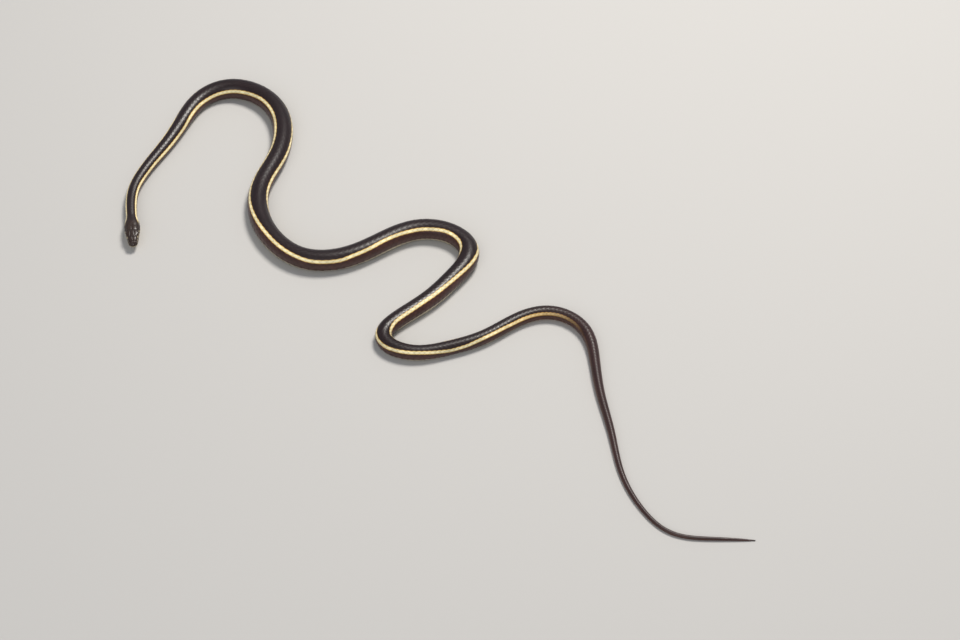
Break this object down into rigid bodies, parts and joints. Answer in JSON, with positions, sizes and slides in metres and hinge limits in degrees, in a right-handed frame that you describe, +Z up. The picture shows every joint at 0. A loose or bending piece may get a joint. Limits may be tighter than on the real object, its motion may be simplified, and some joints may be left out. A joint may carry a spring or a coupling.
{
  "type": "striped racer snake",
  "caption": "Life-size still model of a slender striped racer snake lying flat on the floor in loose S bends, with a narrow head, large eyes and a long whip-like tail.",
  "frame": {"origin": "centre of the bottom of the whole animal's box, on the floor under the belly", "axes": "+Z up from the floor; +X along the longest side of the box, from the head's side to the tail tip's side; +Y from the tail's side to the head's side"},
  "size_m": [0.4656, 0.4471, 0.0148],
  "materials": {
    "back_skin": "smooth glossy snake skin, dark brown with two cream side stripes",
    "jaw_skin": "smooth cream snake skin",
    "tail_skin": "smooth reddish brown snake skin",
    "eye": "wet, glossy"
  },
  "bodies": {
    "root": {"head": "back_skin", "lower_jaw": "jaw_skin", "eye_left": "eye", "eye_right": "eye", "neck": "back_skin", "trunk_1": "back_skin", "trunk_2": "back_skin", "trunk_3": "back_skin", "trunk_4": "back_skin", "trunk_5": "back_skin", "trunk_6": "back_skin", "trunk_7": "back_skin", "tail_1": "tail_skin", "tail_2": "tail_skin", "tail_3": "tail_skin"}
  },
  "joints": []
}
